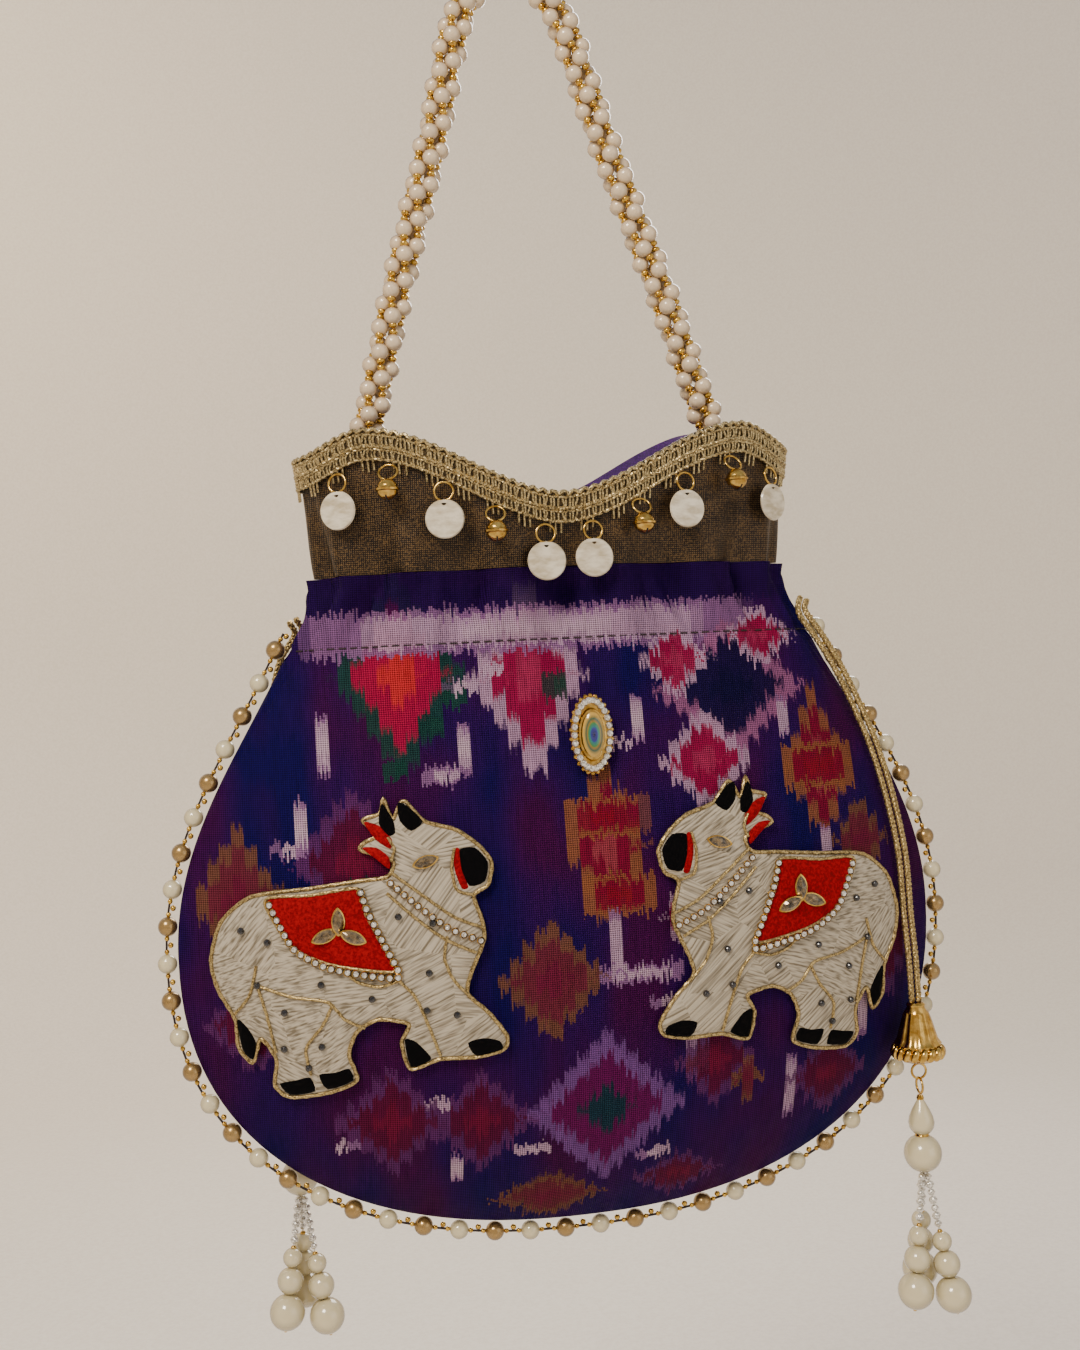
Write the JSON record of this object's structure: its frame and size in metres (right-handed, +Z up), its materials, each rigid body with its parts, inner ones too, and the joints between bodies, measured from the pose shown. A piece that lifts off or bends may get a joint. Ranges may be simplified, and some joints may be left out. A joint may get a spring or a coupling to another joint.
{
  "type": "potli bag",
  "caption": "Drawstring potli pouch with a pearl bead handle, charm-hung metallic lace mouth, cow appliques and tasselled draw cords.",
  "frame": {"origin": "middle of the handle at the top of its arch, where a hand holds it", "axes": "+Z up, front with the cows facing -Y, +X to the right of a viewer who faces the front"},
  "size_m": [0.2414, 0.0711, 0.42],
  "materials": {
    "cotton_thread_white": "satin stitch over padding",
    "enamel_blue": "enamel",
    "felt_red": "felt",
    "gold_plate": "bright gold plate",
    "ikat_cotton_purple": "woven ikat cotton, padded",
    "lace_gold_thread": "metallic thread lace",
    "pearl_cream": "pearlescent",
    "satin_purple": "satin lining",
    "shell_white": "polished shell",
    "tissue_antique_gold": "woven tissue with metallic thread",
    "zari_cord": "braided metallic cord"
  },
  "bodies": {
    "bag": {"pouch": "ikat_cotton_purple", "collar": "tissue_antique_gold", "lining": "satin_purple", "lace": "lace_gold_thread", "handle": "pearl_cream", "seam_beads": "pearl_cream", "front_draw_cord": "zari_cord", "back_draw_cord": "zari_cord", "front_tassel_cap": "gold_plate", "back_tassel_cap": "gold_plate", "left_cow": "cotton_thread_white", "left_cow_saddle": "felt_red", "right_cow": "cotton_thread_white", "right_cow_saddle": "felt_red", "brooch_setting": "gold_plate", "brooch_stone": "enamel_blue"},
    "back_bell_2_body": {"back_bell_2": "gold_plate"},
    "back_bell_4_body": {"back_bell_4": "gold_plate"},
    "back_bell_7_body": {"back_bell_7": "gold_plate"},
    "back_bell_9_body": {"back_bell_9": "gold_plate"},
    "back_disc_1_body": {"back_disc_1": "shell_white"},
    "back_disc_10_body": {"back_disc_10": "shell_white"},
    "back_disc_3_body": {"back_disc_3": "shell_white"},
    "back_disc_5_body": {"back_disc_5": "shell_white"},
    "back_disc_6_body": {"back_disc_6": "shell_white"},
    "back_disc_8_body": {"back_disc_8": "shell_white"},
    "back_pearl_drop_body": {"back_pearl_drop": "pearl_cream"},
    "back_pearl_strand_1_body": {"back_pearl_strand_1": "pearl_cream"},
    "back_pearl_strand_2_body": {"back_pearl_strand_2": "pearl_cream"},
    "back_pearl_strand_3_body": {"back_pearl_strand_3": "pearl_cream"},
    "front_bell_2_body": {"front_bell_2": "gold_plate"},
    "front_bell_4_body": {"front_bell_4": "gold_plate"},
    "front_bell_7_body": {"front_bell_7": "gold_plate"},
    "front_bell_9_body": {"front_bell_9": "gold_plate"},
    "front_disc_1_body": {"front_disc_1": "shell_white"},
    "front_disc_10_body": {"front_disc_10": "shell_white"},
    "front_disc_3_body": {"front_disc_3": "shell_white"},
    "front_disc_5_body": {"front_disc_5": "shell_white"},
    "front_disc_6_body": {"front_disc_6": "shell_white"},
    "front_disc_8_body": {"front_disc_8": "shell_white"},
    "front_pearl_drop_body": {"front_pearl_drop": "pearl_cream"},
    "front_pearl_strand_1_body": {"front_pearl_strand_1": "pearl_cream"},
    "front_pearl_strand_2_body": {"front_pearl_strand_2": "pearl_cream"},
    "front_pearl_strand_3_body": {"front_pearl_strand_3": "pearl_cream"}
  },
  "joints": [
    {"name": "back_bell_2_swing", "type": "hinge", "parent": "bag", "child": "back_bell_2_body", "pos_m": [-0.04437, 0.02143, -0.15379], "axis": [0.954, 0.2997, 0], "range_deg": [0, 50]},
    {"name": "back_bell_4_swing", "type": "hinge", "parent": "bag", "child": "back_bell_4_body", "pos_m": [-0.01521, 0.02601, -0.1669], "axis": [0.9948, 0.102, 0], "range_deg": [0, 50]},
    {"name": "back_bell_7_swing", "type": "hinge", "parent": "bag", "child": "back_bell_7_body", "pos_m": [0.02717, 0.02557, -0.16586], "axis": [0.9936, -0.1131, 0], "range_deg": [0, 50]},
    {"name": "back_bell_9_swing", "type": "hinge", "parent": "bag", "child": "back_bell_9_body", "pos_m": [0.0564, 0.02069, -0.15339], "axis": [0.9472, -0.3206, 0], "range_deg": [0, 50]},
    {"name": "back_disc_1_swing", "type": "hinge", "parent": "bag", "child": "back_disc_1_body", "pos_m": [-0.05867, 0.01517, -0.15516], "axis": [0.8653, 0.5012, 0], "range_deg": [0, 50]},
    {"name": "back_disc_10_swing", "type": "hinge", "parent": "bag", "child": "back_disc_10_body", "pos_m": [0.07082, 0.0139, -0.15612], "axis": [0.8361, -0.5486, 0], "range_deg": [0, 50]},
    {"name": "back_disc_3_swing", "type": "hinge", "parent": "bag", "child": "back_disc_3_body", "pos_m": [-0.02933, 0.02389, -0.15936], "axis": [0.9825, 0.1862, 0], "range_deg": [0, 50]},
    {"name": "back_disc_5_swing", "type": "hinge", "parent": "bag", "child": "back_disc_5_body", "pos_m": [-0.0009, 0.02516, -0.17233], "axis": [0.9996, 0.0297, 0], "range_deg": [0, 50]},
    {"name": "back_disc_6_swing", "type": "hinge", "parent": "bag", "child": "back_disc_6_body", "pos_m": [0.01293, 0.02561, -0.17183], "axis": [0.9992, -0.0397, 0], "range_deg": [0, 50]},
    {"name": "back_disc_8_swing", "type": "hinge", "parent": "bag", "child": "back_disc_8_body", "pos_m": [0.04152, 0.02383, -0.15835], "axis": [0.9798, -0.2, 0], "range_deg": [0, 50]},
    {"name": "back_pearl_drop_swing", "type": "hinge", "parent": "bag", "child": "back_pearl_drop_body", "pos_m": [-0.0788, 0.0265, -0.3496], "axis": [0, 1, 0], "range_deg": [-15, 15]},
    {"name": "back_pearl_strand_1_swing", "type": "hinge", "parent": "back_pearl_drop_body", "child": "back_pearl_strand_1_body", "pos_m": [-0.0788, 0.0275, -0.3736], "axis": [1, 0, 0], "range_deg": [0, 20]},
    {"name": "back_pearl_strand_2_swing", "type": "hinge", "parent": "back_pearl_drop_body", "child": "back_pearl_strand_2_body", "pos_m": [-0.07967, 0.026, -0.3736], "axis": [-0.5, 0.866, 0], "range_deg": [0, 20]},
    {"name": "back_pearl_strand_3_swing", "type": "hinge", "parent": "back_pearl_drop_body", "child": "back_pearl_strand_3_body", "pos_m": [-0.07793, 0.026, -0.3736], "axis": [-0.5, -0.866, 0], "range_deg": [0, 20]},
    {"name": "front_bell_2_swing", "type": "hinge", "parent": "bag", "child": "front_bell_2_body", "pos_m": [-0.04436, -0.0214, -0.15379], "axis": [-0.954, 0.2997, 0], "range_deg": [0, 50]},
    {"name": "front_bell_4_swing", "type": "hinge", "parent": "bag", "child": "front_bell_4_body", "pos_m": [-0.0152, -0.02593, -0.1669], "axis": [-0.9948, 0.102, 0], "range_deg": [0, 50]},
    {"name": "front_bell_7_swing", "type": "hinge", "parent": "bag", "child": "front_bell_7_body", "pos_m": [0.02718, -0.02563, -0.16586], "axis": [-0.9936, -0.1131, 0], "range_deg": [0, 50]},
    {"name": "front_bell_9_swing", "type": "hinge", "parent": "bag", "child": "front_bell_9_body", "pos_m": [0.0564, -0.02071, -0.15339], "axis": [-0.9472, -0.3206, 0], "range_deg": [0, 50]},
    {"name": "front_disc_1_swing", "type": "hinge", "parent": "bag", "child": "front_disc_1_body", "pos_m": [-0.05868, -0.01518, -0.15516], "axis": [-0.8653, 0.5012, 0], "range_deg": [0, 50]},
    {"name": "front_disc_10_swing", "type": "hinge", "parent": "bag", "child": "front_disc_10_body", "pos_m": [0.0708, -0.01387, -0.15612], "axis": [-0.8361, -0.5486, 0], "range_deg": [0, 50]},
    {"name": "front_disc_3_swing", "type": "hinge", "parent": "bag", "child": "front_disc_3_body", "pos_m": [-0.02935, -0.02398, -0.15936], "axis": [-0.9825, 0.1862, 0], "range_deg": [0, 50]},
    {"name": "front_disc_5_swing", "type": "hinge", "parent": "bag", "child": "front_disc_5_body", "pos_m": [-0.0009, -0.02523, -0.17233], "axis": [-0.9996, 0.0297, 0], "range_deg": [0, 50]},
    {"name": "front_disc_6_swing", "type": "hinge", "parent": "bag", "child": "front_disc_6_body", "pos_m": [0.01293, -0.02559, -0.17183], "axis": [-0.9992, -0.0397, 0], "range_deg": [0, 50]},
    {"name": "front_disc_8_swing", "type": "hinge", "parent": "bag", "child": "front_disc_8_body", "pos_m": [0.0415, -0.02375, -0.15835], "axis": [-0.9798, -0.2, 0], "range_deg": [0, 50]},
    {"name": "front_pearl_drop_swing", "type": "hinge", "parent": "bag", "child": "front_pearl_drop_body", "pos_m": [0.1095, -0.0135, -0.3496], "axis": [0, 1, 0], "range_deg": [-15, 15]},
    {"name": "front_pearl_strand_1_swing", "type": "hinge", "parent": "front_pearl_drop_body", "child": "front_pearl_strand_1_body", "pos_m": [0.1095, -0.0125, -0.3736], "axis": [1, 0, 0], "range_deg": [0, 20]},
    {"name": "front_pearl_strand_2_swing", "type": "hinge", "parent": "front_pearl_drop_body", "child": "front_pearl_strand_2_body", "pos_m": [0.10863, -0.014, -0.3736], "axis": [-0.5, 0.866, 0], "range_deg": [0, 20]},
    {"name": "front_pearl_strand_3_swing", "type": "hinge", "parent": "front_pearl_drop_body", "child": "front_pearl_strand_3_body", "pos_m": [0.11037, -0.014, -0.3736], "axis": [-0.5, -0.866, 0], "range_deg": [0, 20]}
  ]
}
